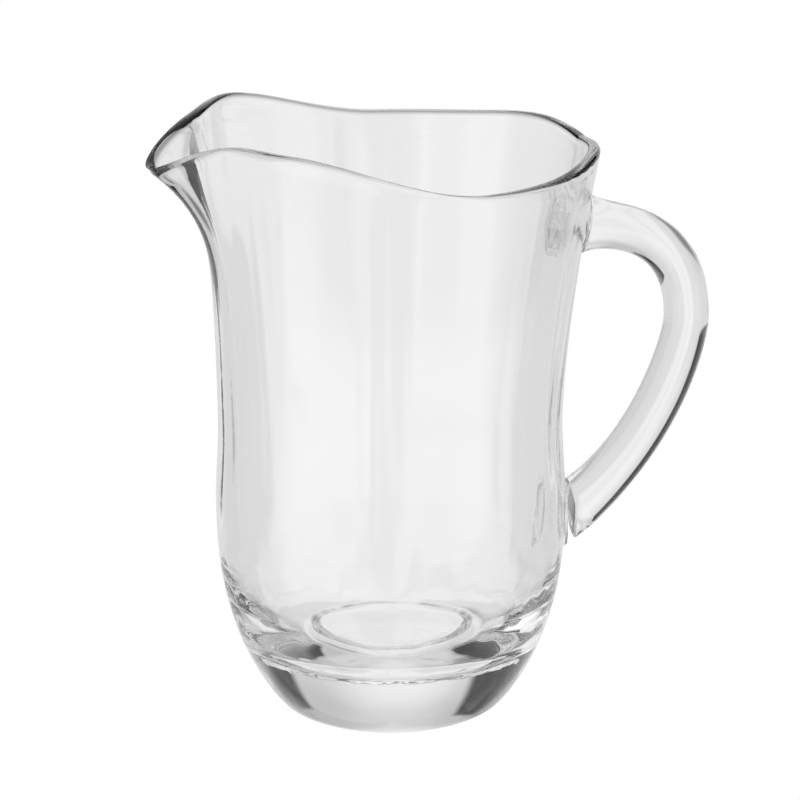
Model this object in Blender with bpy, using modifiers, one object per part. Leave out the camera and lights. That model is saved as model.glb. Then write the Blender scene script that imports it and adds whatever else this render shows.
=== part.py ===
"""Clear glass water jug: a round body with a thick base, a wavy rim and a pulled
spout, and a bent glass rod for a handle, joined to the wall at two glass pads.

Units are metres and +Z is up. The origin is the centre of the face the jug stands
on. The spout points to -X and the handle to +X.
"""

import math

import bmesh
import bpy
from mathutils import Matrix, Vector

# Outer side of the body, from the foot up
FOOT_RADIUS = 0.0368
BELLY_BULGE = 0.0013
BELLY_HEIGHT = 0.0729
BOWL_SWELL = 2.33
BOWL_CORNER = 1.21
WAIST_RADIUS = 0.0592
WAIST_RISE = 0.0300
RIM_HEIGHT = 0.1956

# Inner side of the body
WALL = 0.0042
LOWER_WALL_GAIN = 0.0018
FLOOR_HEIGHT = 0.0240
FLOOR_RADIUS = 0.0302
INNER_BOWL_RISE = 0.0380
INNER_BOWL_SWELL = 2.0
INNER_BOWL_CORNER = 2.0

# Flare of the upper wall, all round and towards the spout
FLARE = 0.0123
FLARE_POWER = 1.49
SPOUT_SIDE_FLARE = 0.0015
SPOUT_SIDE_ANGLE = math.radians(31.8)

# Pulled spout and the wave of the rim
SPOUT_PULL = 0.0243
SPOUT_POWER = 5.36
SPOUT_ANGLE = math.radians(18.2)
SPOUT_DROP = 0.0118
SPOUT_DROP_ANGLE = math.radians(14.0)
SHOULDER_RISE = 0.0127
SHOULDER_FULL_ANGLE = math.radians(46.4)
SHOULDER_START_ANGLE = math.radians(102.0)
CORNER_RISE = 0.0033
CORNER_ANGLE = math.radians(156.0)
CORNER_WIDTH = math.radians(22.9)

# Handle rod
HANDLE_RADIUS = 0.0079
HANDLE_TOP_RADIUS = 0.0114
HANDLE_FOOT_RADIUS = 0.0104
HANDLE_SWELL = 8.0
FINGER_ROOM = 0.0410
UPPER_SEAT_DROP = 0.0293
GRIP_DROP = 0.0370
LOWER_SEAT_HEIGHT = 0.0618
LOWER_END_SLOPE = math.radians(32.2)
UPPER_BEND = 0.30
GRIP_BEND = 0.91
LOWER_GRIP_BEND = 0.12
LOWER_BEND = 0.49

# Pads between wall and handle
UPPER_PAD_THICKNESS = 0.0028
LOWER_PAD_THICKNESS = 0.0039
LOWER_SEAT_TILT = math.radians(1.0)
LOWER_JOINT_OPENING = math.radians(9.0)
UPPER_PAD_HALF_WIDTH = 0.0078
LOWER_PAD_HALF_WIDTH = 0.0035
PAD_MARGIN = 0.0006
PAD_EDGE = 0.0008
PAD_EDGE_ANGLE = math.radians(60.0)
BOND_GAP = 0.0003

# Facets
TURN_STEPS = 64
BOWL_STEPS = 10
WAIST_STEPS = 4
WALL_STEPS = 9
RIM_STEPS = 4
ROD_STEPS = 12
ROD_BEVEL_STEPS = 6
PAD_SIDES = 32
PAD_EDGE_STEPS = 2
MERGE_DISTANCE = 0.00001

GLASS_COLOUR = (0.93, 0.95, 0.95, 1.0)
GLASS_ROUGHNESS = 0.03
GLASS_IOR = 1.52

BELLY_RADIUS = WAIST_RADIUS + BELLY_BULGE
END_OVERRUN = 2.0 * max(HANDLE_TOP_RADIUS, HANDLE_FOOT_RADIUS)
END_CUTTER_SIZE = 4.0 * END_OVERRUN
WAIST_HEIGHT = BELLY_HEIGHT + WAIST_RISE
INNER_BOWL_TOP = FLOOR_HEIGHT + INNER_BOWL_RISE
WALL_TOP = RIM_HEIGHT - WALL / 2.0
UPPER_SEAT_HEIGHT = RIM_HEIGHT - UPPER_SEAT_DROP


def ease(share):
    """Smooth step from 0 to 1, flat at both ends."""
    share = min(max(share, 0.0), 1.0)
    return share * share * (3.0 - 2.0 * share)


def bell(ratio):
    """Bell curve, 1 at the middle and near 0 past two widths."""
    return math.exp(-ratio * ratio)


def steps(count):
    """Shares from 0 to 1, without the first."""
    return [step / count for step in range(1, count + 1)]


def bowl_radius(share, low, high, swell, corner):
    """Radius of a bowl's side at a share of its height, from low to high."""
    return low + (high - low) * (1.0 - (1.0 - share) ** swell) ** (1.0 / corner)


def plain_radius(height):
    """Outer radius of the turned body before its upper wall is flared."""
    if height < BELLY_HEIGHT:
        return bowl_radius(height / BELLY_HEIGHT, FOOT_RADIUS, BELLY_RADIUS, BOWL_SWELL, BOWL_CORNER)
    share = ease((height - BELLY_HEIGHT) / WAIST_RISE)
    return BELLY_RADIUS + (WAIST_RADIUS - BELLY_RADIUS) * share


def inner_radius(height):
    """Inner radius of the turned body above its inner bowl, where the wall thickens on its way down."""
    share = (WALL_TOP - height) / (WALL_TOP - INNER_BOWL_TOP)
    return plain_radius(height) - WALL - LOWER_WALL_GAIN * share


def upper_share(height):
    """Share of the way from the waist to the plain rim."""
    return max((height - WAIST_HEIGHT) / (RIM_HEIGHT - WAIST_HEIGHT), 0.0)


def wall_radius(height):
    """Outer radius of the finished wall on the handle's side."""
    return plain_radius(height) + FLARE * upper_share(height) ** FLARE_POWER


def rim_height(angle):
    """Height of the rim at an angle from the spout."""
    span = SHOULDER_START_ANGLE - SHOULDER_FULL_ANGLE
    shoulder = SHOULDER_RISE * ease((SHOULDER_START_ANGLE - angle) / span)
    corner = CORNER_RISE * bell((angle - CORNER_ANGLE) / CORNER_WIDTH)
    return RIM_HEIGHT + shoulder + corner - SPOUT_DROP * bell(angle / SPOUT_DROP_ANGLE)


def outward_pull(angle, share):
    """How far the wall moves outward at an angle from the spout and a share of the upper wall."""
    flare = FLARE - (FLARE - SPOUT_SIDE_FLARE) * bell(angle / SPOUT_SIDE_ANGLE)
    spout = SPOUT_PULL * bell(angle / SPOUT_ANGLE)
    return flare * share ** FLARE_POWER + spout * share ** SPOUT_POWER


def outer_profile():
    """Points (radius, height) down the outer side, from the top of the wall to the foot."""
    points = [(WAIST_RADIUS, WALL_TOP)]
    for share in steps(WALL_STEPS):
        points.append((WAIST_RADIUS, WALL_TOP + (WAIST_HEIGHT - WALL_TOP) * share))
    for share in steps(WAIST_STEPS):
        height = WAIST_HEIGHT - WAIST_RISE * share
        points.append((plain_radius(height), height))
    for share in steps(BOWL_STEPS):
        height = BELLY_HEIGHT * (1.0 - math.sin(share * math.pi / 2.0))
        points.append((plain_radius(max(height, 0.0)), max(height, 0.0)))
    return points


def inner_profile():
    """Points (radius, height) up the inner side, from the floor's centre to the top of the wall."""
    bowl_end = inner_radius(INNER_BOWL_TOP)
    points = [(0.0, FLOOR_HEIGHT), (FLOOR_RADIUS, FLOOR_HEIGHT)]
    for share in steps(BOWL_STEPS):
        rise = 1.0 - math.cos(share * math.pi / 2.0)
        radius = bowl_radius(rise, FLOOR_RADIUS, bowl_end, INNER_BOWL_SWELL, INNER_BOWL_CORNER)
        points.append((radius, FLOOR_HEIGHT + INNER_BOWL_RISE * rise))
    for share in steps(WAIST_STEPS):
        height = INNER_BOWL_TOP + (WAIST_HEIGHT - INNER_BOWL_TOP) * share
        points.append((inner_radius(height), height))
    for share in steps(WALL_STEPS):
        height = WAIST_HEIGHT + (WALL_TOP - WAIST_HEIGHT) * share
        points.append((inner_radius(height), height))
    return points


def rim_profile():
    """Points over the half-round rim, from the inner to the outer side, without its two ends."""
    bead = WALL / 2.0
    centre = Vector((WAIST_RADIUS - bead, RIM_HEIGHT - bead))
    turns = [math.pi * (1.0 - share) for share in steps(RIM_STEPS)[:-1]]
    return [tuple(centre + bead * Vector((math.cos(turn), math.sin(turn)))) for turn in turns]


def turned_mesh(name, profile):
    """Closed mesh of a profile (radius, height) turned about Z by a Screw modifier."""
    outline = bpy.data.meshes.new(name)
    edges = [(first, first + 1) for first in range(len(profile) - 1)]
    outline.from_pydata([(radius, 0.0, height) for radius, height in profile], edges, [])
    turned = bpy.data.objects.new(name, outline)
    bpy.context.scene.collection.objects.link(turned)
    screw = turned.modifiers.new("turn", 'SCREW')
    screw.axis = 'Z'
    screw.angle = 2.0 * math.pi
    screw.steps = TURN_STEPS
    screw.render_steps = TURN_STEPS
    screw.use_merge_vertices = True
    screw.merge_threshold = MERGE_DISTANCE
    mesh = evaluated_mesh(turned)
    bpy.data.objects.remove(turned)
    return mesh


def evaluated_mesh(source):
    """Mesh of an object with its modifiers or bevel applied and its seams welded."""
    evaluated = source.evaluated_get(bpy.context.evaluated_depsgraph_get())
    mesh = bpy.data.meshes.new_from_object(evaluated)
    welded = bmesh.new()
    welded.from_mesh(mesh)
    bmesh.ops.remove_doubles(welded, verts=welded.verts, dist=MERGE_DISTANCE)
    welded.to_mesh(mesh)
    welded.free()
    return mesh


def shape_upper_wall(mesh):
    """Flare the upper wall, pull the spout out and lift the rim to its wave."""
    for vertex in mesh.vertices:
        x, y, height = vertex.co
        share = upper_share(height)
        radius = math.hypot(x, y)
        if share > 0.0 and radius > 0.0:
            angle = abs(math.atan2(y, -x))
            stretch = (radius + outward_pull(angle, share)) / radius
            raised = WAIST_HEIGHT + (rim_height(angle) - WAIST_HEIGHT) * share
            vertex.co = (x * stretch, y * stretch, raised)


def glass_material(name):
    """Clear, faintly cool glass."""
    material = bpy.data.materials.new(name)
    material.use_nodes = True
    shader = material.node_tree.nodes["Principled BSDF"]
    shader.inputs["Base Color"].default_value = GLASS_COLOUR
    shader.inputs["Roughness"].default_value = GLASS_ROUGHNESS
    shader.inputs["Metallic"].default_value = 0.0
    shader.inputs["IOR"].default_value = GLASS_IOR
    shader.inputs["Transmission Weight"].default_value = 1.0
    return material


def add_part(name, mesh, collection):
    """Object of one glass piece with its own material."""
    part = bpy.data.objects.new(name, mesh)
    mesh.materials.clear()
    mesh.materials.append(glass_material(name + " glass"))
    mesh.shade_smooth()
    collection.objects.link(part)
    return part


def add_cutter(name, mesh, collection):
    """Object that only cuts others."""
    cutter = bpy.data.objects.new(name, mesh)
    cutter.hide_render = True
    cutter.display_type = 'WIRE'
    collection.objects.link(cutter)
    return cutter


def cut(part, cutter):
    """Take the cutter's volume out of a part."""
    boolean = part.modifiers.new("cut by " + cutter.name, 'BOOLEAN')
    boolean.operation = 'DIFFERENCE'
    boolean.solver = 'EXACT'
    boolean.object = cutter


def seat_frame(point, tilt):
    """Frame at a seat's centre, with X up the seat, Y level across it and Z out of it."""
    outward = Vector((math.cos(tilt), 0.0, math.sin(tilt)))
    across = Vector((0.0, -1.0, 0.0))
    upward = across.cross(outward)
    rotation = Matrix((upward, across, outward)).transposed().to_4x4()
    return Matrix.Translation(point) @ rotation


def upper_seat():
    """Frame of the upper pad's face, parallel with the wall behind it."""
    height = UPPER_SEAT_HEIGHT
    slope = FLARE * FLARE_POWER * upper_share(height) ** (FLARE_POWER - 1.0) / (RIM_HEIGHT - WAIST_HEIGHT)
    point = Vector((wall_radius(height) + UPPER_PAD_THICKNESS, 0.0, height))
    return seat_frame(point, -math.atan(slope))


def lower_seat():
    """Frame of the lower pad's face, which leans up a little."""
    height = LOWER_SEAT_HEIGHT
    point = Vector((wall_radius(height) + LOWER_PAD_THICKNESS, 0.0, height))
    return seat_frame(point, LOWER_SEAT_TILT)


def pad_half_height(end_radius, end_slope, tilt):
    """Half the height of a pad that takes a rod's end, cut slantwise by the seat."""
    return end_radius / math.cos(end_slope - tilt) + PAD_MARGIN


def make_body(collection):
    """Body of one run of glass: inner side, half-round rim, outer side and flat foot."""
    foot_centre = [(0.0, 0.0)]
    mesh = turned_mesh("glass_body", inner_profile() + rim_profile() + outer_profile() + foot_centre)
    shape_upper_wall(mesh)
    return add_part("glass_body", mesh, collection)


def make_wall_cutter(collection):
    """Solid that fills the body's outer side, larger by the bond gap."""
    grown = [(radius + BOND_GAP, height) for radius, height in outer_profile()]
    top = grown[0][1]
    foot = grown[-1][1]
    mesh = turned_mesh("wall_cutter", [(0.0, top)] + grown + [(0.0, foot)])
    shape_upper_wall(mesh)
    return add_cutter("wall_cutter", mesh, collection)


def make_pad(name, seat, half_height, half_width, wall_cutter, collection):
    """Oval pad with its face on the seat and its back fitted to the wall."""
    depth = 2.0 * half_height
    bpy.ops.mesh.primitive_cylinder_add(vertices=PAD_SIDES, radius=1.0, depth=depth)
    blank = bpy.context.object
    mesh = blank.data.copy()
    bpy.data.objects.remove(blank)
    oval = Matrix.Diagonal((half_height, half_width, 1.0, 1.0))
    mesh.transform(seat @ Matrix.Translation((0.0, 0.0, -depth / 2.0)) @ oval)
    pad = add_part(name, mesh, collection)
    edge = pad.modifiers.new("soft edge", 'BEVEL')
    edge.width = PAD_EDGE
    edge.segments = PAD_EDGE_STEPS
    edge.limit_method = 'ANGLE'
    edge.angle_limit = PAD_EDGE_ANGLE
    cut(pad, wall_cutter)
    return pad


def bend(start, start_way, start_reach, end, end_way, end_reach):
    """Points along a cubic bend that leaves and arrives on two tangents, without its first point."""
    leave = start + start_reach * start_way
    arrive = end - end_reach * end_way
    points = []
    for share in steps(ROD_STEPS):
        rest = 1.0 - share
        near = rest ** 3 * start + 3.0 * rest * rest * share * leave
        far = 3.0 * rest * share * share * arrive + share ** 3 * end
        points.append(near + far)
    return points


def swollen(end_radius, share):
    """Rod radius at a share of the way from the grip to an end."""
    return HANDLE_RADIUS + (end_radius - HANDLE_RADIUS) * share ** HANDLE_SWELL


def handle_route(upper, lower):
    """Points and radii along the rod, from above the upper seat to behind the lower one.

    The rod leaves the upper seat squarely, turns down at the grip and meets the lower seat
    on a slope, swelling towards both ends. It overruns the seats, to be cut off flat on them.
    """
    top = upper.translation
    top_way = upper.to_3x3().col[2].normalized()
    foot = lower.translation
    foot_way = Vector((-math.cos(LOWER_END_SLOPE), 0.0, -math.sin(LOWER_END_SLOPE)))
    grip = Vector((WAIST_RADIUS + FINGER_ROOM + HANDLE_RADIUS, 0.0, top.z - GRIP_DROP))
    down = Vector((0.0, 0.0, -1.0))
    upper_reach = UPPER_BEND * (grip.x - top.x)
    lower_reach = LOWER_GRIP_BEND * (grip.z - foot.z)
    foot_reach = LOWER_BEND * (grip - foot).length
    points = [top - END_OVERRUN * top_way, top]
    points += bend(top, top_way, upper_reach, grip, down, GRIP_BEND * GRIP_DROP)
    points += bend(grip, down, lower_reach, foot, foot_way, foot_reach)
    points += [foot + END_OVERRUN * foot_way]
    away = [1.0 - share for share in steps(ROD_STEPS)]
    radii = [HANDLE_TOP_RADIUS, HANDLE_TOP_RADIUS]
    radii += [swollen(HANDLE_TOP_RADIUS, share) for share in away]
    radii += [swollen(HANDLE_FOOT_RADIUS, share) for share in steps(ROD_STEPS)]
    radii += [HANDLE_FOOT_RADIUS]
    return points, radii


def rod_mesh(name, points, radii):
    """Mesh of a rod with closed ends along a route of points, swollen in height towards its ends."""
    curve = bpy.data.curves.new(name, 'CURVE')
    curve.dimensions = '3D'
    curve.bevel_depth = 1.0
    curve.bevel_resolution = ROD_BEVEL_STEPS
    curve.use_fill_caps = True
    spline = curve.splines.new('POLY')
    spline.points.add(len(points) - 1)
    for knot, point, radius in zip(spline.points, points, radii):
        knot.co = (*point, 1.0)
        knot.radius = radius
    rod = bpy.data.objects.new(name, curve)
    bpy.context.scene.collection.objects.link(rod)
    mesh = evaluated_mesh(rod)
    bpy.data.objects.remove(rod)
    press_sides(mesh)
    return mesh


def press_sides(mesh):
    """Keep the rod as narrow at its swollen ends as at the grip, with flat sides there."""
    for vertex in mesh.vertices:
        vertex.co.y = min(max(vertex.co.y, -HANDLE_RADIUS), HANDLE_RADIUS)


def make_end_cutter(name, end, collection):
    """Block that takes off everything behind a handle's end face."""
    bpy.ops.mesh.primitive_cube_add(size=END_CUTTER_SIZE)
    blank = bpy.context.object
    mesh = blank.data.copy()
    bpy.data.objects.remove(blank)
    mesh.transform(end @ Matrix.Translation((0.0, 0.0, -END_CUTTER_SIZE / 2.0)))
    return add_cutter(name, mesh, collection)


def lower_end(seat, half_height):
    """Frame of the handle's lower end face, close to the pad at its top and opening below."""
    to_top_edge = Matrix.Translation((half_height, 0.0, BOND_GAP))
    opening = Matrix.Rotation(LOWER_JOINT_OPENING, 4, 'Y')
    to_middle = Matrix.Translation((-half_height, 0.0, 0.0))
    return seat @ to_top_edge @ opening @ to_middle


def clear_scene():
    for existing in list(bpy.data.objects):
        bpy.data.objects.remove(existing)


def make_jug():
    clear_scene()
    parts = bpy.data.collections.new("water_jug")
    cutters = bpy.data.collections.new("cutters")
    for collection in (parts, cutters):
        bpy.context.scene.collection.children.link(collection)

    upper = upper_seat()
    lower = lower_seat()
    upper_half = pad_half_height(HANDLE_TOP_RADIUS, 0.0, 0.0)
    lower_half = pad_half_height(HANDLE_FOOT_RADIUS, LOWER_END_SLOPE, LOWER_SEAT_TILT)

    make_body(parts)
    wall_cutter = make_wall_cutter(cutters)
    make_pad("upper_handle_pad", upper, upper_half, UPPER_PAD_HALF_WIDTH, wall_cutter, parts)
    make_pad("lower_handle_pad", lower, lower_half, LOWER_PAD_HALF_WIDTH, wall_cutter, parts)

    handle = add_part("handle", rod_mesh("handle", *handle_route(upper, lower)), parts)
    upper_end = upper @ Matrix.Translation((0.0, 0.0, BOND_GAP))
    cut(handle, make_end_cutter("upper_end_cutter", upper_end, cutters))
    cut(handle, make_end_cutter("lower_end_cutter", lower_end(lower, lower_half), cutters))


make_jug()
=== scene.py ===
"""Looks of the clear glass water jug: fine blown-glass forms over the CAD frame, and a bright studio."""

import math

import bpy
import numpy as np
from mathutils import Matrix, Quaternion, Vector


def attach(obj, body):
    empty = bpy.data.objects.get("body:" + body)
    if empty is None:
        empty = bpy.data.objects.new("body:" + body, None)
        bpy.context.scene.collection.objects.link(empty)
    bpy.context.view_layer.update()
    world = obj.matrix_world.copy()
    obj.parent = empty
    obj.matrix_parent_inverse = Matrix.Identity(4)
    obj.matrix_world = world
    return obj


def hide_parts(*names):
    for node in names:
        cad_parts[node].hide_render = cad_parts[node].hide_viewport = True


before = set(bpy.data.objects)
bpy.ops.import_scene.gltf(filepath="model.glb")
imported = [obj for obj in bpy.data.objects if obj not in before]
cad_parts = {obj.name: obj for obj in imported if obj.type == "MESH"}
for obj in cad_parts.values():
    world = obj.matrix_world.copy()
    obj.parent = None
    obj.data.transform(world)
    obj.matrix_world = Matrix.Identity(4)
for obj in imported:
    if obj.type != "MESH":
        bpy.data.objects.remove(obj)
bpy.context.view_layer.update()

# Outer side of the body, in metres, as in the CAD part
FOOT_RADIUS = 0.0368
WAIST_RADIUS = 0.0592
BELLY_RADIUS = 0.0605
BELLY_HEIGHT = 0.0729
BOWL_SWELL = 2.33
BOWL_CORNER = 1.21
WAIST_RISE = 0.0300
WAIST_HEIGHT = BELLY_HEIGHT + WAIST_RISE
RIM_HEIGHT = 0.1956
HEEL = 0.0026

# Inner side of the body, and the bead of its rim
WALL = 0.0042
LOWER_WALL_GAIN = 0.0018
WALL_TOP = RIM_HEIGHT - WALL / 2.0
FLOOR_HEIGHT = 0.0240
FLOOR_RADIUS = 0.0302
INNER_BOWL_RISE = 0.0380
INNER_BOWL_TOP = FLOOR_HEIGHT + INNER_BOWL_RISE
RIM_SQUARENESS = 2.8
RIM_LEAN = 0.0006

# Ring pressed into the inner floor; its reach to each side is counted in widths
RING_RADIUS = 0.0280
RING_DEPTH = 0.0020
RING_WIDTH = 0.0013
RING_REACH = 1.7
RING_START = RING_RADIUS - RING_REACH * RING_WIDTH

# Flare, spout and wave of the rim; angles are counted from the spout
FLARE = 0.0123
FLARE_POWER = 1.49
SPOUT_SIDE_FLARE = 0.0015
SPOUT_SIDE_ANGLE = math.radians(31.8)
SPOUT_PULL = 0.0243
SPOUT_POWER = 5.36
SPOUT_ANGLE = math.radians(18.2)
SPOUT_DROP = 0.0118
SPOUT_DROP_ANGLE = math.radians(14.0)
SHOULDER_RISE = 0.0127
SHOULDER_FULL_ANGLE = math.radians(46.4)
SHOULDER_START_ANGLE = math.radians(102.0)
CORNER_RISE = 0.0033
CORNER_ANGLE = math.radians(156.0)
CORNER_WIDTH = math.radians(22.9)

# Thinner glass at the spout's tip: the share of the wall that goes, and a move inward
SPOUT_THINNING = 0.45
SPOUT_THIN_ANGLE = math.radians(11.0)
SPOUT_THIN_POWER = 20.0
SPOUT_THIN_SHIFT = 0.0015

# Handle rod
HANDLE_RADIUS = 0.0079
HANDLE_TOP_RADIUS = 0.0114
HANDLE_FOOT_RADIUS = 0.0104
HANDLE_SWELL = 8.0
LOWER_ROD_GAIN = 0.0003
LOWER_GAIN_WAY = 0.5
FOOT_PINCH = 0.0025
PINCH_REACH = 0.0060
ROD_EDGE = 0.0007
ROD_EDGE_FLAT = 0.3 * ROD_EDGE
FINGER_ROOM = 0.0410
GRIP_DROP = 0.0370
LOWER_END_SLOPE = math.radians(32.2)
UPPER_BEND = 0.30
GRIP_BEND = 0.91
LOWER_GRIP_BEND = 0.12
LOWER_BEND = 0.49
END_OVERRUN = 0.0200

# Seats and pads of the handle
UPPER_SEAT_DROP = 0.0293
UPPER_SEAT_HEIGHT = RIM_HEIGHT - UPPER_SEAT_DROP
LOWER_SEAT_HEIGHT = 0.0618
LOWER_SEAT_TILT = math.radians(1.0)
LOWER_JOINT_OPENING = math.radians(6.5)
UPPER_PAD_THICKNESS = 0.0028
LOWER_PAD_THICKNESS = 0.0039
UPPER_PAD_HALF_WIDTH = 0.0078
LOWER_PAD_HALF_WIDTH = 0.0035
PAD_MARGIN = 0.0006
PAD_EDGE = 0.0008
PAD_FACE_INSET = 1.3 * PAD_EDGE
PAD_FLARE = 0.0014
LOWER_PAD_NECK = -0.0016
PAD_UNEVEN = 0.025
PAD_SINES = {"first": 2, "count": 5, "lean": 0.0}
BOND_GAP = 0.0003
WALL_SEARCH = 0.0500

# Unevenness: how fast a sum of sines grows finer, and the phase and slant of each sine
WAVE_STEP = 1.37
WAVE_PHASE = 2.4
SLANT_STEP = 2.1
SLANT_PHASE = 0.7

# Heights of the waves on the inner side, in metres, the sines that make them, and the share of the upper wall
# over which they fade below the rim
WALL_WAVE = 0.00006
WALL_SINES = {"first": 5, "count": 7, "lean": 1.2}
LOW_WAVE = 0.00002
LOW_WAVE_HEIGHT = 0.0400
LOW_WAVE_WIDTH = 0.0160
LOW_SINES = {"first": 9, "count": 6, "lean": 14.0}
FLUTE = 0.00002
FLUTE_SINES = {"first": 19, "count": 5, "lean": 0.8}
RING_RIPPLE = 0.00016
RIPPLE_SINES = {"first": 13, "count": 6, "lean": 60.0}
RIM_FADE = 0.12

# Painted shade: darker glass colour in the floor's ring, in broken stretches, and along the rim's inner edge
RING_SHADE_SHIFT = 0.35 * RING_WIDTH
RING_SHADE_WIDTH = 0.95 * RING_WIDTH
RING_SHADE_LEVEL = 0.6
RING_SHADE_SWING = 0.25
RING_SHADE_LEAST = 0.1
RING_SHADE_SINES = {"first": 7, "count": 6, "lean": 30.0}
RIM_SHADE = 0.9
RIM_EDGE_TURN = math.radians(135.0)
RIM_EDGE_WIDTH = math.radians(30.0)

# Glass: its clouds' tint and roughness, the painted shade's colour, how it dims light, and each piece's
# finish
GLASS_IOR = 1.5
CLOUD_TINT = (0.972, 0.974, 0.974, 1.0)
CLOUD_START = 0.45
CLOUD_FULL = 0.80
CLOUD_ROUGHNESS = 0.03
PAINTED_SHADE_COLOUR = (0.10, 0.105, 0.105, 1.0)
DIM_COLOUR = (0.49, 0.50, 0.50, 1.0)
GLASS_DENSITY = 1.2
BODY_FINISH = {"cloud_scale": 30.0, "swirl_scale": 90.0, "swirl_height": 0.00002}
HANDLE_FINISH = {"cloud_scale": 45.0, "swirl_scale": 110.0, "swirl_height": 0.00002}
PAD_FINISH = {"cloud_scale": 80.0, "swirl_scale": 260.0, "swirl_height": 0.00010}
WHITE = (1.0, 1.0, 1.0, 1.0)
BLACK = (0.0, 0.0, 0.0, 1.0)

# Sides and rows of the grids, and steps of a search
TURNS = 464
FLAT_ROWS = 6
RING_ROWS = 18
BOWL_ROWS = 50
INNER_WALL_ROWS = 40
BEAD_ROWS = 16
OUTER_WALL_ROWS = 36
SIDE_ROWS = 40
UNDERSIDE_ROWS = 5
ROD_SIDES = 72
ROD_ROWS = 220
ROUTE_STEPS = 240
PAD_SIDES = 72
PAD_FACE_ROWS = 7
PAD_SIDE_ROWS = 12
PAD_BACK_ROWS = 16
EDGE_ROWS = 5
HALVINGS = 50

# Camera, at the photograph's angle
VIEW_AZIMUTH = math.radians(-16.2)
VIEW_ELEVATION = math.radians(17.25)
VIEW_DISTANCE = 1.2
VIEW_TARGET = Vector((0.0, 0.0, 0.105))
VIEW_ROLL = math.radians(0.26)
AIM_RIGHT = 0.00338
AIM_UP = 0.00343
FOCAL_PIXELS = 3488.5
IMAGE_PIXELS = 800.0
SENSOR_WIDTH = 36.0
NEAR_LIMIT = 0.01

# Floor
FLOOR_SIDES = 96
FLOOR_REACH = 3.0
FLOOR_DROP = 0.0004

# Studio light by direction, in degrees. Azimuth is 0 behind the jug and positive to the right, and aside is
# the same without its sign, so that 180 is behind the camera. A level of 1 is white. A change of light is its
# amount and its soft edge: the angle where it starts, and the angle where it is full.
HALF_TURN = 180.0
FLOOR_LIGHT = 0.89
FLOOR_OFF_AXIS = (-0.14, (6.0, 10.0))
FLOOR_FURTHER_OFF = (-0.07, (14.0, 36.0))
FLOOR_IN_FRONT = (0.27, (95.0, 110.0))
AXIS_LINE = -0.05
AXIS_LINE_SIDES = ((-1.3, -0.5), (1.0, 0.2))
LEFT_SHADE = {"depth": 0.7, "sides": ((-16.0, -30.0), (-58.0, -48.0)), "top": (-34.0, -42.0)}
RIGHT_SHADE = {"depth": 0.5, "sides": ((24.0, 34.0), (78.0, 66.0)), "top": (-40.0, -50.0)}
FLOOR_EDGE = (-8.0, -12.0)

# Walls and ceiling
SIDE_WALL = 0.68
SIDE_WALL_UP = (-0.12, (6.0, 20.0))
MIDDLE_WALL = 0.92
MIDDLE_WALL_UP = (-0.22, (8.0, 21.0))
MIDDLE_WALL_TOP = (0.15, (28.0, 36.0))
MIDDLE_AZIMUTH = -2.0
MIDDLE_EDGE = (25.0, 3.0)
CEILING = (0.74, (38.0, 60.0))

# Dark openings at both sides of the back wall, by the angle aside of their inner edge
LEFT_HALF = (1.0, -1.0)
LEFT_OPENING = 23.5
LEFT_OPENING_FOOT = (4.0, (8.0, -2.0))
RIGHT_OPENING = 31.5
OPENING_LEAN = 1.4
OPENING_LEAN_START = 28.0
OPENING_EDGE = (-2.0, 2.5)
OPENING_END = (110.0, 95.0)
LEFT_FILL = (0.07, (6.0, 36.0))
RIGHT_FILL_LEAST = 0.01
RIGHT_FILL = (0.23, (3.0, 24.0))
RIGHT_SILL = -1.0
LEFT_SILL_DROP = -9.0
SILL_EDGE = (-1.0, 1.0)
LEFT_TOP_RISE = 25.0
OPENING_TOP = (-0.75, (18.0, 52.0))

# Fainter openings in front of the jug, and a tall soft box there
FRONT_OPENING = -0.42
FRONT_OPENING_SIDES = ((128.0, 136.0), (158.0, 150.0))
FRONT_OPENING_ENDS = ((-7.0, -4.0), (34.0, 22.0))
SOFT_BOX = 0.40
SOFT_BOX_SIDES = ((-100.0, -104.0), (-168.0, -166.0))
SOFT_BOX_ENDS = ((-30.0, -28.0), (50.0, 48.0))

# How often light may pass through glass, and be mirrored in it
PASSES = 96
MIRRORINGS = 48


def ease(share):
    """Smooth step from 0 to 1: 3 s^2 - 2 s^3, with s held between 0 and 1."""
    share = np.clip(share, 0.0, 1.0)
    return share * share * (3.0 - 2.0 * share)


def bell(ratio):
    """Bell curve: e to the power of minus the ratio squared."""
    return np.exp(-ratio * ratio)


def steps(start, end, count):
    """Even steps from start to end, without the start itself."""
    return np.linspace(start, end, count + 1)[1:]


def turns(count):
    """Even angles of a full turn, the first at 0."""
    return np.linspace(0.0, 2.0 * math.pi, count, endpoint=False)


def halve(low, high, is_past):
    """Where a test begins to hold between low and high, found by halving the distance again and again."""
    for _ in range(HALVINGS):
        middle = (low + high) / 2.0
        past = is_past(middle)
        low, high = np.where(past, low, middle), np.where(past, middle, high)
    return (low + high) / 2.0


def waves(turn, travel, first, count, lean):
    """Uneven surface: a sum of sines round the axis, the first with its own number of rounds.

    Each next sine is finer by the wave step and weaker by the same share, starts at its own phase, and leans
    with the travel up the surface by its own slant.
    """
    total = 0.0
    for order in range(count):
        finer = WAVE_STEP ** order
        slant = lean * math.sin(SLANT_STEP * order + SLANT_PHASE)
        phase = WAVE_PHASE * order * order
        total = total + np.sin(round(first * finer) * turn + phase + slant * travel) / finer
    return total


def plain_radius(height):
    """Outer radius before flaring: a bowl (1 - (1 - h)^swell)^(1 / corner) from the foot up to the belly,
    with h the share of the belly's height, and then a smooth step to the waist."""
    share = np.clip(height / BELLY_HEIGHT, 0.0, 1.0)
    bowl = (1.0 - (1.0 - share) ** BOWL_SWELL) ** (1.0 / BOWL_CORNER)
    waist = ease((height - BELLY_HEIGHT) / WAIST_RISE)
    return FOOT_RADIUS + (BELLY_RADIUS - FOOT_RADIUS) * bowl + (WAIST_RADIUS - BELLY_RADIUS) * waist


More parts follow.
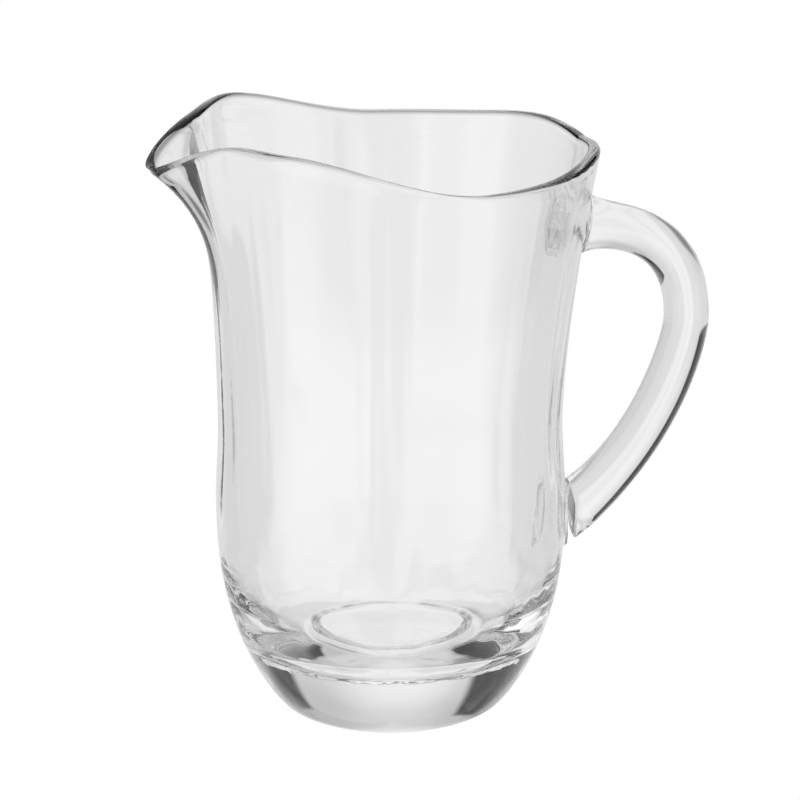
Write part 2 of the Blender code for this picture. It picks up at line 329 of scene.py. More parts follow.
def inner_radius(height):
    """Radius of the plain inner wall: the outer one less a wall that grows evenly from the rim down to the
    inner bowl."""
    share = np.clip((WALL_TOP - height) / (WALL_TOP - INNER_BOWL_TOP), 0.0, 1.0)
    return plain_radius(height) - WALL - LOWER_WALL_GAIN * share


def upper_share(height):
    """Share of the way from the waist to the plain rim, 0 below the waist."""
    return np.clip((height - WAIST_HEIGHT) / (RIM_HEIGHT - WAIST_HEIGHT), 0.0, None)


def rim_height(angle):
    """Rim height at an angle from the spout: smooth-step shoulders and bell-curve corners by the handle, less
    the bell curve of the spout's dip."""
    span = SHOULDER_START_ANGLE - SHOULDER_FULL_ANGLE
    shoulder = SHOULDER_RISE * ease((SHOULDER_START_ANGLE - angle) / span)
    corner = CORNER_RISE * bell((angle - CORNER_ANGLE) / CORNER_WIDTH)
    return RIM_HEIGHT + shoulder + corner - SPOUT_DROP * bell(angle / SPOUT_DROP_ANGLE)


def outward_pull(angle, share):
    """Outward move of the upper wall: a flare, less beside the spout, times the share to a power, plus the
    spout's bell curve times the share to a higher power."""
    flare = FLARE - (FLARE - SPOUT_SIDE_FLARE) * bell(angle / SPOUT_SIDE_ANGLE)
    spout = SPOUT_PULL * bell(angle / SPOUT_ANGLE)
    return flare * share ** FLARE_POWER + spout * share ** SPOUT_POWER


def wall_radius(height, angle):
    """Outer radius of the finished wall: the plain one plus the pull, by the share of the way to the rim."""
    share = np.clip((height - WAIST_HEIGHT) / (rim_height(angle) - WAIST_HEIGHT), 0.0, None)
    return plain_radius(height) + outward_pull(angle, share)


def heel_cut(height):
    """How far the outer side draws in at the foot: a quarter circle of the heel's radius."""
    return HEEL - np.sqrt(HEEL ** 2 - np.clip(HEEL - height, 0.0, HEEL) ** 2)


def inner_profile():
    """Radius and height of the inner side from beside the floor's centre up to the rim: the flat floor, a
    bell-shaped groove for the pressed ring, a quarter ellipse for the bowl, and the plain wall."""
    flat = steps(0.0, RING_START, FLAT_ROWS)
    groove = steps(-RING_REACH, RING_REACH, RING_ROWS)
    turn = steps(0.0, math.pi / 2.0, BOWL_ROWS)
    wall = steps(INNER_BOWL_TOP, WALL_TOP, INNER_WALL_ROWS)
    bowl = FLOOR_RADIUS + (inner_radius(INNER_BOWL_TOP) - FLOOR_RADIUS) * np.sin(turn)
    radius = np.concatenate([flat, RING_RADIUS + RING_WIDTH * groove, bowl, inner_radius(wall)])
    height = np.concatenate([
        np.full_like(flat, FLOOR_HEIGHT), FLOOR_HEIGHT - RING_DEPTH * (bell(groove) - bell(RING_REACH)),
        INNER_BOWL_TOP - INNER_BOWL_RISE * np.cos(turn), wall])
    return radius, height


def rim_bead():
    """Radius and height of the rim from its inner to its outer side, and a bell curve about its inner edge.

    The bead is half a squarish ellipse of the wall's thickness, leaning in a little. The bell curve sets
    where painted shade darkens the glass.
    """
    turn = np.linspace(math.pi, 0.0, BEAD_ROWS + 1)[1:-1]
    out = np.sign(np.cos(turn)) * np.abs(np.cos(turn)) ** (2.0 / RIM_SQUARENESS)
    up = np.sin(turn) ** (2.0 / RIM_SQUARENESS)
    radius = WAIST_RADIUS - WALL / 2.0 + WALL / 2.0 * out - RIM_LEAN * up
    return radius, WALL_TOP + WALL / 2.0 * up, bell((turn - RIM_EDGE_TURN) / RIM_EDGE_WIDTH)


def outer_profile():
    """Radius and height of the outer side from the rim down to beside the foot's centre: the plain wall, the
    bowl with rows by the sine of a quarter turn, drawn in at the heel, and the flat underside."""
    wall = np.linspace(WALL_TOP, BELLY_HEIGHT, OUTER_WALL_ROWS + 1)
    fall = steps(0.0, math.pi / 2.0, SIDE_ROWS)
    side = np.maximum(BELLY_HEIGHT * (1.0 - np.sin(fall)), 0.0)
    underside = np.linspace(FOOT_RADIUS - HEEL, 0.0, UNDERSIDE_ROWS + 1)[1:-1]
    radius = np.concatenate([plain_radius(wall), plain_radius(side) - heel_cut(side), underside])
    height = np.concatenate([wall, side, np.zeros_like(underside)])
    return radius, height


def body_profile():
    """Radius and height along one side of the body, from the floor's centre over the rim to the foot's, with
    an array that is 1 on the inner side and one that is 1 at the rim's inner edge, where shade is painted."""
    inner_side, inner_height = inner_profile()
    bead, bead_height, bead_edge = rim_bead()
    outer_side, outer_height = outer_profile()
    before, after = np.zeros_like(inner_side), np.zeros_like(outer_side)
    radius = np.concatenate([inner_side, bead, outer_side])
    height = np.concatenate([inner_height, bead_height, outer_height])
    inner = np.concatenate([before + 1.0, np.zeros_like(bead), after])
    rim_edge = np.concatenate([before, bead_edge, after])
    return radius, height, inner, rim_edge


def on_floor(height, inner):
    """1 on the inner floor and in its ring, 0 elsewhere."""
    return inner * np.where(height < FLOOR_HEIGHT + RING_WIDTH, 1.0, 0.0)


def inner_unevenness(radius, height, inner, turn, travel):
    """How far the inner side moves along its normal: a sum of waves, each times its height and its place.

    Broad waves cover the wall, closer ones lie low in the bowl and upright flutes above it. These three fade
    to nothing by smooth steps at the floor's ring and at the rim. Ripples lie in the ring by a bell curve.
    """
    beyond_ring = ease((radius - RING_START) / (FLOOR_RADIUS - RING_START))
    steady = inner * beyond_ring * ease((1.0 - upper_share(height)) / RIM_FADE)
    low = steady * bell((height - LOW_WAVE_HEIGHT) / LOW_WAVE_WIDTH)
    upright = steady * ease((height - INNER_BOWL_TOP) / INNER_BOWL_RISE)
    in_ring = on_floor(height, inner) * bell((radius - RING_RADIUS) / RING_WIDTH)
    move = WALL_WAVE * steady[:, None] * waves(turn, travel, **WALL_SINES)
    move += LOW_WAVE * low[:, None] * waves(turn, travel, **LOW_SINES)
    move += FLUTE * upright[:, None] * waves(turn, travel, **FLUTE_SINES)
    move += RING_RIPPLE * in_ring[:, None] * waves(turn, travel, **RIPPLE_SINES)
    return move


def painted_shade_share(radius, height, inner, rim_edge, turn, travel):
    """Share of painted shade: a bell curve on the ring's outer side, broken by waves, plus the rim's edge."""
    ring = on_floor(height, inner) * bell((radius - RING_RADIUS - RING_SHADE_SHIFT) / RING_SHADE_WIDTH)
    broken = RING_SHADE_LEVEL + RING_SHADE_SWING * waves(turn, travel, **RING_SHADE_SINES)
    return ring[:, None] * np.clip(broken, RING_SHADE_LEAST, 1.0) + RIM_SHADE * rim_edge[:, None]


def body_rings():
    """Rings of the body, and the share of painted shade at each of their points.

    The rings are the profile turned about Z, after the inner side has moved along its normal by its
    unevenness. The upper wall is pulled outward and lifted to the rim's wave. Near the spout's tip the inner
    side moves out by a share of its depth behind the outer side, the bead flattens by the same share, and
    both sides shift inward.
    """
    radius, height, inner, rim_edge = body_profile()
    turn = turns(TURNS)
    angle = np.abs(math.pi - turn)
    along = np.concatenate([[0.0], np.cumsum(np.hypot(np.diff(radius), np.diff(height)))])
    travel = along[:, None] / WAIST_RADIUS
    move = inner_unevenness(radius, height, inner, turn, travel)
    plain = radius[:, None] + move * np.gradient(height, along)[:, None]
    risen = height[:, None] - move * np.gradient(radius, along)[:, None]
    share = upper_share(height)[:, None]
    thin = SPOUT_THINNING * bell(angle / SPOUT_THIN_ANGLE) * share ** SPOUT_THIN_POWER
    depth = np.clip(plain_radius(height) - radius, 0.0, None)[:, None]
    ring_radius = plain + thin * (depth - SPOUT_THIN_SHIFT) + outward_pull(angle, share)
    on_bead = height[:, None] > WALL_TOP
    raised = np.where(on_bead, 1.0 - (1.0 - share) * (1.0 - thin), share)
    lifted = WAIST_HEIGHT + (rim_height(angle) - WAIST_HEIGHT) * raised
    ring_height = np.where(share > 0.0, lifted, risen)
    rings = np.stack([ring_radius * np.cos(turn), ring_radius * np.sin(turn), ring_height], axis=2)
    return rings, painted_shade_share(radius, height, inner, rim_edge, turn, travel)


def closed_piece(name, rings, start, end, painted_shade=0.0):
    """Object of stacked closed rings, with a fan to a centre point at both ends, and an attribute of painted
    shade.

    All faces are turned over if the sum of their signed volumes to the origin is negative, so they point out.
    """
    count, sides = rings.shape[:2]
    points = np.concatenate([rings.reshape(-1, 3), [start, end]])
    first = np.arange((count - 1) * sides).reshape(count - 1, sides)
    near = np.roll(first, -1, axis=1)
    quads = np.stack([first, near, near + sides, first + sides], axis=2).reshape(-1, 4)
    rim = np.arange(sides)
    last = rim + (count - 1) * sides
    start_fan = np.stack([np.roll(rim, -1), rim, np.full(sides, len(points) - 2)], axis=1)
    end_fan = np.stack([last, np.roll(last, -1), np.full(sides, len(points) - 1)], axis=1)
    corner = points[quads]
    volume = np.einsum('ij,ij->i', corner[:, 0], np.cross(corner[:, 1], corner[:, 2])).sum()
    volume += np.einsum('ij,ij->i', corner[:, 0], np.cross(corner[:, 2], corner[:, 3])).sum()
    faces = [quads, start_fan, end_fan]
    if volume < 0.0:
        faces = [group[:, ::-1] for group in faces]
    mesh = bpy.data.meshes.new(name)
    mesh.from_pydata(points.tolist(), [], [face for group in faces for face in group.tolist()])
    mesh.shade_smooth()
    # Painted shade: per-point share of darkening for the ring's and the rim's dark lines
    spread = np.zeros(len(points))
    spread[:-2] = np.broadcast_to(painted_shade, (count, sides)).reshape(-1)
    mesh.attributes.new("painted_shade", 'FLOAT', 'POINT').data.foreach_set("value", spread)
    piece = bpy.data.objects.new(name, mesh)
    bpy.context.scene.collection.objects.link(piece)
    return piece


def seat_axes(tilt):
    """Unit vectors of a seat in the XZ plane: up along it, and out of it."""
    return np.array([-math.sin(tilt), 0.0, math.cos(tilt)]), np.array([math.cos(tilt), 0.0, math.sin(tilt)])


def upper_seat():
    """Centre and tilt of the upper pad's face: a pad's thickness out from the flared wall, and along it."""
    share = upper_share(UPPER_SEAT_HEIGHT)
    slope = FLARE * FLARE_POWER * share ** (FLARE_POWER - 1.0) / (RIM_HEIGHT - WAIST_HEIGHT)
    reach = plain_radius(UPPER_SEAT_HEIGHT) + FLARE * share ** FLARE_POWER + UPPER_PAD_THICKNESS
    return np.array([reach, 0.0, UPPER_SEAT_HEIGHT]), -math.atan(slope)


def lower_seat():
    """Centre and tilt of the lower pad's face: a pad's thickness from the plain wall, turned up a little."""
    reach = plain_radius(LOWER_SEAT_HEIGHT) + LOWER_PAD_THICKNESS
    return np.array([reach, 0.0, LOWER_SEAT_HEIGHT]), LOWER_SEAT_TILT


def lower_pad_half_height():
    """Half height of the lower pad: the rod's foot, cut at a slant, and a margin."""
    return HANDLE_FOOT_RADIUS / math.cos(LOWER_END_SLOPE - LOWER_SEAT_TILT) + PAD_MARGIN


def pad_rings(seat, tilt, half_height, half_width, side_flare):
    """Rings of an oval pad from its face's centre to its back's centre.

    Each ring is a slightly uneven ellipse in the seat's plane, a share of the pad's size plus a spread,
    pushed in along the seat's normal. The face ends in a quarter-round edge. The side spreads with the cube
    of its way to the wall, as softened glass does, with an amount of its own across the pad, which narrows
    it where that is negative. The back lies on the wall.
    """
    up, out = seat_axes(tilt)
    across = np.array([0.0, 1.0, 0.0])
    around = turns(PAD_SIDES)
    uneven = 1.0 + PAD_UNEVEN * waves(around, 0.0, **PAD_SINES)

    def ovals(share, spread, side_spread):
        """Ellipses in the seat's plane, one for each share with its two spreads."""
        high = (half_height * share + spread)[:, None] * uneven * np.cos(around)
        wide = (half_width * share + side_spread)[:, None] * uneven * np.sin(around)
        return seat + high[..., None] * up + wide[..., None] * across

    def depth_to_wall(flat):
        """Way in from points of the seat's plane to the bond gap before the wall."""
        def at_wall(depth):
            point = flat - depth[..., None] * out
            angle = np.abs(np.arctan2(point[..., 1], -point[..., 0]))
            reach = np.hypot(point[..., 0], point[..., 1])
            return reach - BOND_GAP <= wall_radius(point[..., 2], angle)

        return halve(np.zeros(flat.shape[:2]), np.full(flat.shape[:2], WALL_SEARCH), at_wall)

    full = steps(0.0, 1.0, PAD_FACE_ROWS)
    bend = np.linspace(0.0, math.pi / 2.0, EDGE_ROWS + 1)
    way = steps(0.0, 1.0, PAD_SIDE_ROWS)
    rest = np.linspace(1.0, 0.0, PAD_BACK_ROWS + 1)[1:-1]
    inset = -PAD_EDGE * (1.0 - np.sin(bend))
    face = ovals(full, -PAD_FACE_INSET * full, -PAD_FACE_INSET * full)
    edge = ovals(np.ones_like(bend), inset, inset)
    side = ovals(np.ones_like(way), PAD_FLARE * way ** 3, side_flare * way ** 3)
    back = ovals(rest, PAD_FLARE * rest, side_flare * rest)
    edge_depth = PAD_EDGE * (1.0 - np.cos(bend))[:, None]
    side_depth = PAD_EDGE + (depth_to_wall(side) - PAD_EDGE) * way[:, None]
    return np.concatenate([
        face, edge - edge_depth[..., None] * out, side - side_depth[..., None] * out,
        back - depth_to_wall(back)[..., None] * out])


def cubic(start, leave, arrive, end, share):
    """Cubic bend from start to end, drawn towards the points leave and arrive: the sum of the four points
    times r^3, 3 r^2 s, 3 r s^2 and s^3, with s the share of the way and r the rest."""
    rest = 1.0 - share
    first_half = rest ** 3 * start + 3.0 * rest ** 2 * share * leave
    return first_half + 3.0 * rest * share ** 2 * arrive + share ** 3 * end


def rod_route():
    """Dense stations along the rod in the XZ plane: place, tangent angle, radius and length from the start.

    Two cubic bends meet at the grip, with straight runs past both seats. The radius is the grip's plus a
    swell that grows with a high power of the share of the way to an end. Below the grip it also gains a
    little by a smooth step.
    """
    top, top_tilt = upper_seat()
    foot, _ = lower_seat()
    top_way = np.array([math.cos(top_tilt), math.sin(top_tilt)])
    foot_way = np.array([-math.cos(LOWER_END_SLOPE), -math.sin(LOWER_END_SLOPE)])
    top, foot = top[[0, 2]], foot[[0, 2]]
    grip = np.array([WAIST_RADIUS + FINGER_ROOM + HANDLE_RADIUS, top[1] - GRIP_DROP])
    down = np.array([0.0, -1.0])
    share = steps(0.0, 1.0, ROUTE_STEPS)
    leave = top + UPPER_BEND * (grip[0] - top[0]) * top_way
    arrive = grip - GRIP_BEND * GRIP_DROP * down
    upper = cubic(top, leave, arrive, grip, share[:, None])
    leave = grip + LOWER_GRIP_BEND * (grip[1] - foot[1]) * down
    arrive = foot - LOWER_BEND * np.linalg.norm(grip - foot) * foot_way
    lower = cubic(grip, leave, arrive, foot, share[:, None])
    begin = [top - END_OVERRUN * top_way, top]
    place = np.concatenate([begin, upper, lower, [foot + END_OVERRUN * foot_way]])
    top_swell = (HANDLE_TOP_RADIUS - HANDLE_RADIUS) * (1.0 - share) ** HANDLE_SWELL
    foot_swell = (HANDLE_FOOT_RADIUS - HANDLE_RADIUS - LOWER_ROD_GAIN) * share ** HANDLE_SWELL
    gain = LOWER_ROD_GAIN * ease(share / LOWER_GAIN_WAY)
    radius = np.concatenate([
        [HANDLE_TOP_RADIUS] * 2, HANDLE_RADIUS + top_swell, HANDLE_RADIUS + gain + foot_swell,
        [HANDLE_FOOT_RADIUS]])
    step = np.diff(place, axis=0)
    length = np.concatenate([[0.0], np.cumsum(np.hypot(step[:, 0], step[:, 1]))])
    way = np.gradient(place, length, axis=0)
    heading = np.unwrap(np.arctan2(way[:, 1], way[:, 0]))
    return place, heading, radius, length


def rod_rings():
    """Rings of the handle from its top to its foot, and the centres of its two ends.

    Each ring is an oval across the route, as high as the route's radius and of even width, pinched at the
    foot by a smooth step. Its points are slid along the route at the ends to lie in the cut planes, and a
    quarter-round edge leads into each flat end.
    """
    place, heading, radius, length = rod_route()
    around = turns(ROD_SIDES)

    def at(station):
        """Oval ring with each of its points at its own station along the route."""
        turn = np.interp(station, length, heading)
        size = np.interp(station, length, radius)
        pinch = ease((station - length[-2]) / PINCH_REACH + 1.0)
        x = np.interp(station, length, place[:, 0]) - size * np.cos(around) * np.sin(turn)
        y = (HANDLE_RADIUS - FOOT_PINCH * pinch) * np.sin(around)
        z = np.interp(station, length, place[:, 1]) + size * np.cos(around) * np.cos(turn)
        return np.stack([x, y, z], axis=2)

    def cut_station(point, out, low, high):
        """Station where each point of a ring reaches the plane through a point, square to out."""
        return halve(low, high, lambda station: (at(station) - point) @ out > 0.0)

    def cap(on_plane, off_plane):
        """Rings of a quarter-round edge from the ring off the plane into the flat end, and its centre."""
        centre = on_plane[0].mean(axis=0)
        inward = centre - on_plane
        inward /= np.linalg.norm(inward, axis=2, keepdims=True)
        bend = np.linspace(0.0, math.pi / 2.0, EDGE_ROWS + 1)[:, None, None]
        round_edge = on_plane + (off_plane - on_plane) * (1.0 - np.sin(bend))
        round_edge = round_edge + ROD_EDGE * inward * (1.0 - np.cos(bend))
        return np.concatenate([round_edge[1:], round_edge[-1:] + ROD_EDGE_FLAT * inward]), centre

    top, top_tilt = upper_seat()
    _, top_out = seat_axes(top_tilt)
    foot, foot_tilt = lower_seat()
    up, out = seat_axes(foot_tilt)
    hinge = foot + lower_pad_half_height() * up + BOND_GAP * out
    _, foot_out = seat_axes(foot_tilt + LOWER_JOINT_OPENING)
    start = np.zeros((1, ROD_SIDES))
    end = start + length[-1]
    reach = 2.0 * END_OVERRUN
    begin = cut_station(top + BOND_GAP * top_out, top_out, start, start + reach)
    finish = cut_station(hinge, foot_out, end, end - reach)
    share = np.linspace(0.0, 1.0, ROD_ROWS + 1)[:, None]
    side = at(begin + ROD_EDGE + (finish - begin - 2.0 * ROD_EDGE) * share)
    top_cap, top_centre = cap(at(begin), side[:1])
    foot_cap, foot_centre = cap(at(finish), side[-1:])
    return np.concatenate([top_cap[::-1], side, foot_cap]), top_centre, foot_centre


def clear_glass(name, cloud_scale, swirl_scale, swirl_height):
    """Clear glass: soft clouds set its tint and roughness, the piece's painted shade darkens it, shallow
    swirls bend its surface, and a long way through it dims the light."""
    glass = bpy.data.materials.new(name)
    glass.use_nodes = True
    nodes, links = glass.node_tree.nodes, glass.node_tree.links
    shader = nodes["Principled BSDF"]
    shader.inputs["IOR"].default_value = GLASS_IOR
    shader.inputs["Transmission Weight"].default_value = 1.0
    place = nodes.new("ShaderNodeTexCoord").outputs["Object"]

    cloud = nodes.new("ShaderNodeTexNoise")
    cloud.inputs["Scale"].default_value = cloud_scale
    cloud.inputs["Detail"].default_value = 1.0
    links.new(place, cloud.inputs["Vector"])
    tint = nodes.new("ShaderNodeMix")
    tint.data_type = 'RGBA'
    tint.inputs["A"].default_value = WHITE
    tint.inputs["B"].default_value = CLOUD_TINT
    links.new(cloud.outputs["Fac"], tint.inputs["Factor"])
    polish = nodes.new("ShaderNodeMapRange")
    polish.inputs["From Min"].default_value = CLOUD_START
    polish.inputs["From Max"].default_value = CLOUD_FULL
    polish.inputs["To Max"].default_value = CLOUD_ROUGHNESS
    links.new(cloud.outputs["Fac"], polish.inputs["Value"])
    links.new(polish.outputs["Result"], shader.inputs["Roughness"])

    # Painted shade: the attribute darkens the base colour towards near black in the ring's and the rim's dark
    # lines
    painted_shade = nodes.new("ShaderNodeAttribute")
    painted_shade.attribute_name = "painted_shade"
    shaded_colour = nodes.new("ShaderNodeMix")
    shaded_colour.data_type = 'RGBA'
    shaded_colour.inputs["B"].default_value = PAINTED_SHADE_COLOUR
    links.new(painted_shade.outputs["Fac"], shaded_colour.inputs["Factor"])
    links.new(tint.outputs["Result"], shaded_colour.inputs["A"])
    links.new(shaded_colour.outputs["Result"], shader.inputs["Base Color"])

    swirl = nodes.new("ShaderNodeTexNoise")
    swirl.inputs["Scale"].default_value = swirl_scale
    swirl.inputs["Detail"].default_value = 0.0
    links.new(place, swirl.inputs["Vector"])
    bend = nodes.new("ShaderNodeBump")
    bend.inputs["Distance"].default_value = swirl_height
    links.new(swirl.outputs["Fac"], bend.inputs["Height"])
    links.new(bend.outputs["Normal"], shader.inputs["Normal"])

    dim = nodes.new("ShaderNodeVolumeAbsorption")
    dim.inputs["Color"].default_value = DIM_COLOUR
    dim.inputs["Density"].default_value = GLASS_DENSITY
    links.new(dim.outputs["Volume"], nodes["Material Output"].inputs["Volume"])
    return glass


def dress(piece, node, glass):
    """Gives a piece its glass, and puts it in place of its CAD node."""
    piece.data.materials.append(glass)
    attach(piece, "root")
    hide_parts(node)


def make_body():
    """Blown body: its rings, closed at the centres of the floor and of the foot."""
    rings, painted_shade = body_rings()
    body = closed_piece("blown_body", rings, [0.0, 0.0, FLOOR_HEIGHT], [0.0, 0.0, 0.0], painted_shade)
    dress(body, "glass_body", clear_glass("body clear glass", **BODY_FINISH))


def make_handle():
    """Rod handle: its rings, closed at the centres of its flat ends."""
    rings, top_centre, foot_centre = rod_rings()
    handle = closed_piece("rod_handle", rings, top_centre, foot_centre)
    dress(handle, "handle", clear_glass("handle clear glass", **HANDLE_FINISH))


def make_pads():
    """Upper and lower pad: their rings, closed at the middle of the first ring and of the last."""
    seat, tilt = upper_seat()
    rings = pad_rings(seat, tilt, HANDLE_TOP_RADIUS + PAD_MARGIN, UPPER_PAD_HALF_WIDTH, PAD_FLARE)
    pad = closed_piece("upper_pad", rings, rings[0].mean(axis=0), rings[-1].mean(axis=0))
    dress(pad, "upper_handle_pad", clear_glass("upper pad glass", **PAD_FINISH))

    seat, tilt = lower_seat()
    rings = pad_rings(seat, tilt, lower_pad_half_height(), LOWER_PAD_HALF_WIDTH, LOWER_PAD_NECK)
    pad = closed_piece("lower_pad", rings, rings[0].mean(axis=0), rings[-1].mean(axis=0))
    dress(pad, "lower_handle_pad", clear_glass("lower pad glass", **PAD_FINISH))


def make_camera():
    """Camera on a sphere round the target, aimed a little beside it and rolled a little."""
    level = math.cos(VIEW_ELEVATION)
    back = Vector((math.sin(VIEW_AZIMUTH) * level, -math.cos(VIEW_AZIMUTH) * level, math.sin(VIEW_ELEVATION)))
    right = Vector((0.0, 0.0, 1.0)).cross(back).normalized()
    up = back.cross(right)
    camera = bpy.data.cameras.new("camera")
    camera.sensor_width = SENSOR_WIDTH
    camera.lens = SENSOR_WIDTH * FOCAL_PIXELS / IMAGE_PIXELS
    camera.clip_start = NEAR_LIMIT
    viewer = bpy.data.objects.new("camera", camera)
    bpy.context.scene.collection.objects.link(viewer)
    viewer.location = VIEW_TARGET + VIEW_DISTANCE * back
    aim = VIEW_TARGET + AIM_RIGHT * right + AIM_UP * up - viewer.location
    roll = Quaternion((0.0, 0.0, 1.0), -VIEW_ROLL)
    viewer.rotation_euler = (aim.to_track_quat('-Z', 'Y') @ roll).to_euler()
    bpy.context.scene.camera = viewer


def make_floor():
    """Plain white disc that the jug stands on, lit evenly from within, and seen by the camera alone."""
    turn = turns(FLOOR_SIDES)
    edge = np.stack([np.cos(turn), np.sin(turn), np.zeros(FLOOR_SIDES)], axis=1) * FLOOR_REACH
    edge[:, 2] = -FLOOR_DROP
    mesh = bpy.data.meshes.new("floor")
    mesh.from_pydata(edge.tolist(), [], [list(range(FLOOR_SIDES))])
    floor = bpy.data.objects.new("floor", mesh)
    bpy.context.scene.collection.objects.link(floor)
    floor.visible_transmission = False
    floor.visible_glossy = False
    floor.visible_diffuse = False
    floor.visible_shadow = False
    white = bpy.data.materials.new("white floor")
    white.use_nodes = True
    shader = white.node_tree.nodes["Principled BSDF"]
    shader.inputs["Base Color"].default_value = BLACK
    shader.inputs["Specular IOR Level"].default_value = 0.0
    shader.inputs["Emission Color"].default_value = WHITE
    shader.inputs["Emission Strength"].default_value = 1.0
    mesh.materials.append(white)


class LightMaths:
    """Math nodes of one node tree, put together as sums and products of numbers and other nodes' outputs."""

    def __init__(self, tree):
        self.tree = tree

    def node(self, operation, *values):
        """One math node with its values."""
        made = self.tree.nodes.new("ShaderNodeMath")
        made.operation = operation
        for socket, value in zip(made.inputs, values):
            if isinstance(value, (int, float)):
                socket.default_value = value
            else:
                self.tree.links.new(value, socket)
        return made.outputs[0]

    def plus(self, first, second):
        return self.node('ADD', first, second)

    def less(self, first, second):
        return self.node('SUBTRACT', first, second)

    def times(self, first, second):
        return self.node('MULTIPLY', first, second)

    def larger(self, first, second):
        return self.node('MAXIMUM', first, second)

    def add(self, base, amount, share):
        """The base plus the amount times the share."""
        return self.node('MULTIPLY_ADD', share, amount, base)

    def blend(self, first, second, share):
        """The first value where the share is 0, the second where it is 1."""
        return self.add(first, self.less(second, first), share)

    def soft(self, value, start, full):
        """Smooth rise of a share from 0 at the start to 1 where it is full, on either side of the start."""
        made = self.tree.nodes.new("ShaderNodeMapRange")
        made.interpolation_type = 'SMOOTHSTEP'
        self.tree.links.new(value, made.inputs["Value"])
        rising = start < full
        made.inputs["From Min"].default_value = min(start, full)
        made.inputs["From Max"].default_value = max(start, full)
        made.inputs["To Min"].default_value = 0.0 if rising else 1.0
        made.inputs["To Max"].default_value = 1.0 if rising else 0.0
        return made.outputs["Result"]

    def change(self, base, value, amount, edge):
        """The base plus an amount that comes in over a soft edge of the value."""
        return self.add(base, amount, self.soft(value, *edge))

    def within(self, value, first_edge, second_edge):
        """Share that is 1 between two soft edges of the value."""
        return self.times(self.soft(value, *first_edge), self.soft(value, *second_edge))


def view_angles(make):
    """Azimuth from the photograph's view axis and elevation of a direction, in degrees."""
    direction = make.tree.nodes.new("ShaderNodeTexCoord").outputs["Generated"]
    split = make.tree.nodes.new("ShaderNodeSeparateXYZ")
    make.tree.links.new(direction, split.inputs[0])
    x, y, z = split.outputs
    azimuth = make.times(make.node('ARCTAN2', x, y), HALF_TURN / math.pi)
    azimuth = make.plus(azimuth, math.degrees(VIEW_AZIMUTH))
    elevation = make.times(make.node('ARCSINE', z), HALF_TURN / math.pi)
    return make.node('WRAP', azimuth, HALF_TURN, -HALF_TURN), elevation


def floor_light(make, azimuth, aside, elevation):
    """Light from the floor: less off the view axis and more in front of the jug, with a faint line on the
    axis and a shaded patch at each side, steeply below."""
    light = make.change(FLOOR_LIGHT, aside, *FLOOR_OFF_AXIS)
    light = make.change(light, aside, *FLOOR_FURTHER_OFF)
    light = make.change(light, aside, *FLOOR_IN_FRONT)
    light = make.add(light, AXIS_LINE, make.within(azimuth, *AXIS_LINE_SIDES))
    for patch in (LEFT_SHADE, RIGHT_SHADE):
        shade = make.times(make.within(azimuth, *patch["sides"]), make.soft(elevation, *patch["top"]))
        light = make.times(light, make.add(1.0, -patch["depth"], shade))
    return light


def wall_light(make, azimuth, elevation):
    """Light from the walls: brightest in the middle behind the jug, dimmer upward, with a brighter band over
    the middle, and a ceiling where that is brighter still."""
    sides = make.change(SIDE_WALL, elevation, *SIDE_WALL_UP)
    middle = make.change(MIDDLE_WALL, elevation, *MIDDLE_WALL_UP)
    middle = make.change(middle, elevation, *MIDDLE_WALL_TOP)
    from_middle = make.node('ABSOLUTE', make.less(azimuth, MIDDLE_AZIMUTH))
    walls = make.blend(sides, middle, make.soft(from_middle, *MIDDLE_EDGE))
    return make.larger(walls, make.change(0.0, elevation, *CEILING))


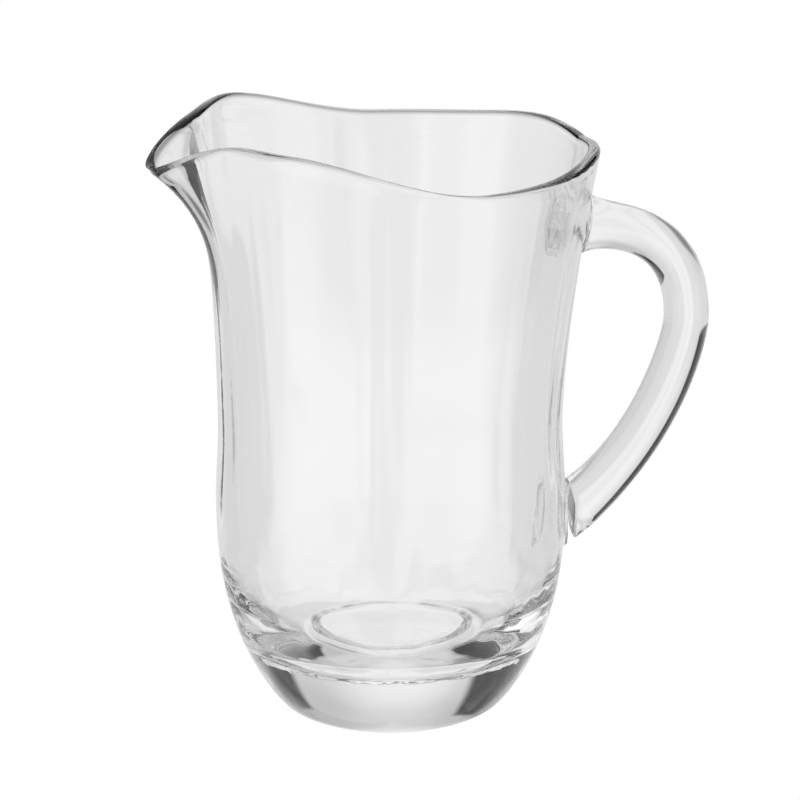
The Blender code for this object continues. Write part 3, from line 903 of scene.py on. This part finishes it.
def with_side_openings(make, walls, azimuth, aside, elevation):
    """The walls with a dark opening at each side of the back wall.

    An opening is blackest at its inner edge, which leans outward high up, and a little lighter further out.
    It ends in front of the jug, at a sill below and in a soft top.
    """
    on_left = make.soft(azimuth, *LEFT_HALF)
    left_edge = make.change(LEFT_OPENING, elevation, *LEFT_OPENING_FOOT)
    edge = make.blend(RIGHT_OPENING, left_edge, on_left)
    lean = make.times(make.larger(make.less(elevation, OPENING_LEAN_START), 0.0), OPENING_LEAN)
    inside = make.less(make.less(aside, edge), lean)
    left_fill = make.change(0.0, inside, *LEFT_FILL)
    right_fill = make.change(RIGHT_FILL_LEAST, inside, *RIGHT_FILL)
    fill = make.blend(right_fill, left_fill, on_left)
    sill = make.add(RIGHT_SILL, LEFT_SILL_DROP, on_left)
    above_sill = make.soft(make.less(elevation, sill), *SILL_EDGE)
    height = make.less(elevation, make.times(on_left, LEFT_TOP_RISE))
    dark = make.times(make.soft(inside, *OPENING_EDGE), make.soft(aside, *OPENING_END))
    dark = make.times(make.times(dark, above_sill), make.change(1.0, height, *OPENING_TOP))
    return make.blend(walls, fill, dark)


def studio_level(make):
    """Level of the studio's light: walls with openings above, the floor below, and a soft box in front on the
    left. The fainter openings in front are what the views from behind look into."""
    azimuth, elevation = view_angles(make)
    aside = make.node('ABSOLUTE', azimuth)
    walls = with_side_openings(make, wall_light(make, azimuth, elevation), azimuth, aside, elevation)
    front = make.times(make.within(aside, *FRONT_OPENING_SIDES), make.within(elevation, *FRONT_OPENING_ENDS))
    walls = make.add(walls, FRONT_OPENING, front)
    floor = floor_light(make, azimuth, aside, elevation)
    level = make.blend(walls, floor, make.soft(elevation, *FLOOR_EDGE))
    box = make.times(make.within(azimuth, *SOFT_BOX_SIDES), make.within(elevation, *SOFT_BOX_ENDS))
    return make.add(level, SOFT_BOX, box)


def make_studio():
    """World of white light at the studio's level, plain white where it is seen without glass in between."""
    world = bpy.data.worlds.new("studio")
    bpy.context.scene.world = world
    world.use_nodes = True
    tree = world.node_tree
    tree.nodes.clear()
    make = LightMaths(tree)
    seen = tree.nodes.new("ShaderNodeLightPath").outputs["Is Camera Ray"]
    light = tree.nodes.new("ShaderNodeBackground")
    light.inputs["Color"].default_value = WHITE
    tree.links.new(make.larger(studio_level(make), seen), light.inputs["Strength"])
    output = tree.nodes.new("ShaderNodeOutputWorld")
    tree.links.new(light.outputs[0], output.inputs["Surface"])


def set_light_paths():
    """Plain colours, and enough passes for light to find its way out of thick glass."""
    scene = bpy.context.scene
    scene.view_settings.view_transform = 'Standard'
    scene.cycles.max_bounces = PASSES
    scene.cycles.transmission_bounces = PASSES
    scene.cycles.glossy_bounces = MIRRORINGS
    scene.cycles.sample_clamp_indirect = 0.0


make_camera()
make_body()
make_handle()
make_pads()
make_floor()
make_studio()
set_light_paths()
